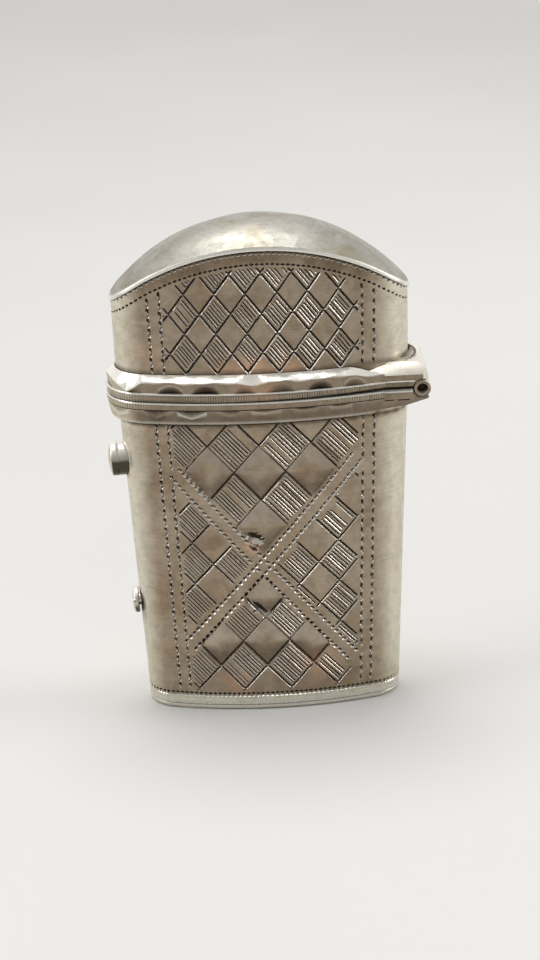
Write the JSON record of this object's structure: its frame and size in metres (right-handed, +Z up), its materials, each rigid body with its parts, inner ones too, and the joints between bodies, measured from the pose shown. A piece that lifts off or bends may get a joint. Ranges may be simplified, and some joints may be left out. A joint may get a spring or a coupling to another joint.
{
  "type": "toothpick case",
  "caption": "Upright oval silver pocket case with an arched hinged lid, a push-button spring catch and an engraved lattice front.",
  "frame": {"origin": "centre of the flat underside of the base plate", "axes": "+Z up to the lid, +X towards the hinge, -Y towards the decorated front"},
  "size_m": [0.0426, 0.017, 0.0672],
  "materials": {
    "silver": "worn engraved silver, satin with fine scratches",
    "mount_silver": "bright-cut silver, polished on the edges and dark in the cuts",
    "silver_gilt": "soft gilt silver",
    "screw_silver": "polished, with a worn slot",
    "spring_steel": "dark drawn steel"
  },
  "bodies": {
    "case_body": {"base_plate": "silver", "body_shell": "silver", "body_mount": "mount_silver", "mouth_bezel": "silver_gilt", "liner_sleeve": "silver_gilt", "liner_floor": "silver_gilt", "body_hinge_leaf": "mount_silver", "body_front_knuckle": "mount_silver", "body_rear_knuckle": "mount_silver", "spring_screw": "screw_silver", "spring_foot": "spring_steel"},
    "lid": {"lid_shell": "silver", "lid_roof": "silver", "lid_mount": "mount_silver", "lid_hinge_leaf": "mount_silver", "lid_front_knuckle": "mount_silver", "lid_middle_knuckle": "mount_silver", "lid_rear_knuckle": "mount_silver", "hinge_pin": "spring_steel"},
    "catch": {"catch_blade": "spring_steel", "catch_nose": "spring_steel", "push_button": "mount_silver"}
  },
  "joints": [
    {"name": "lid_hinge", "type": "hinge", "parent": "case_body", "child": "lid", "pos_m": [0.0206, 0, 0.0446], "axis": [0, 1, 0], "range_deg": [0, 105]},
    {"name": "catch_press", "type": "hinge", "parent": "case_body", "child": "catch", "pos_m": [-0.01573, 0, 0.0172], "axis": [0, 1, 0], "range_deg": [0, 2.1], "stiffness_Nm_per_rad": 2.4, "springref_deg": -1.15}
  ]
}
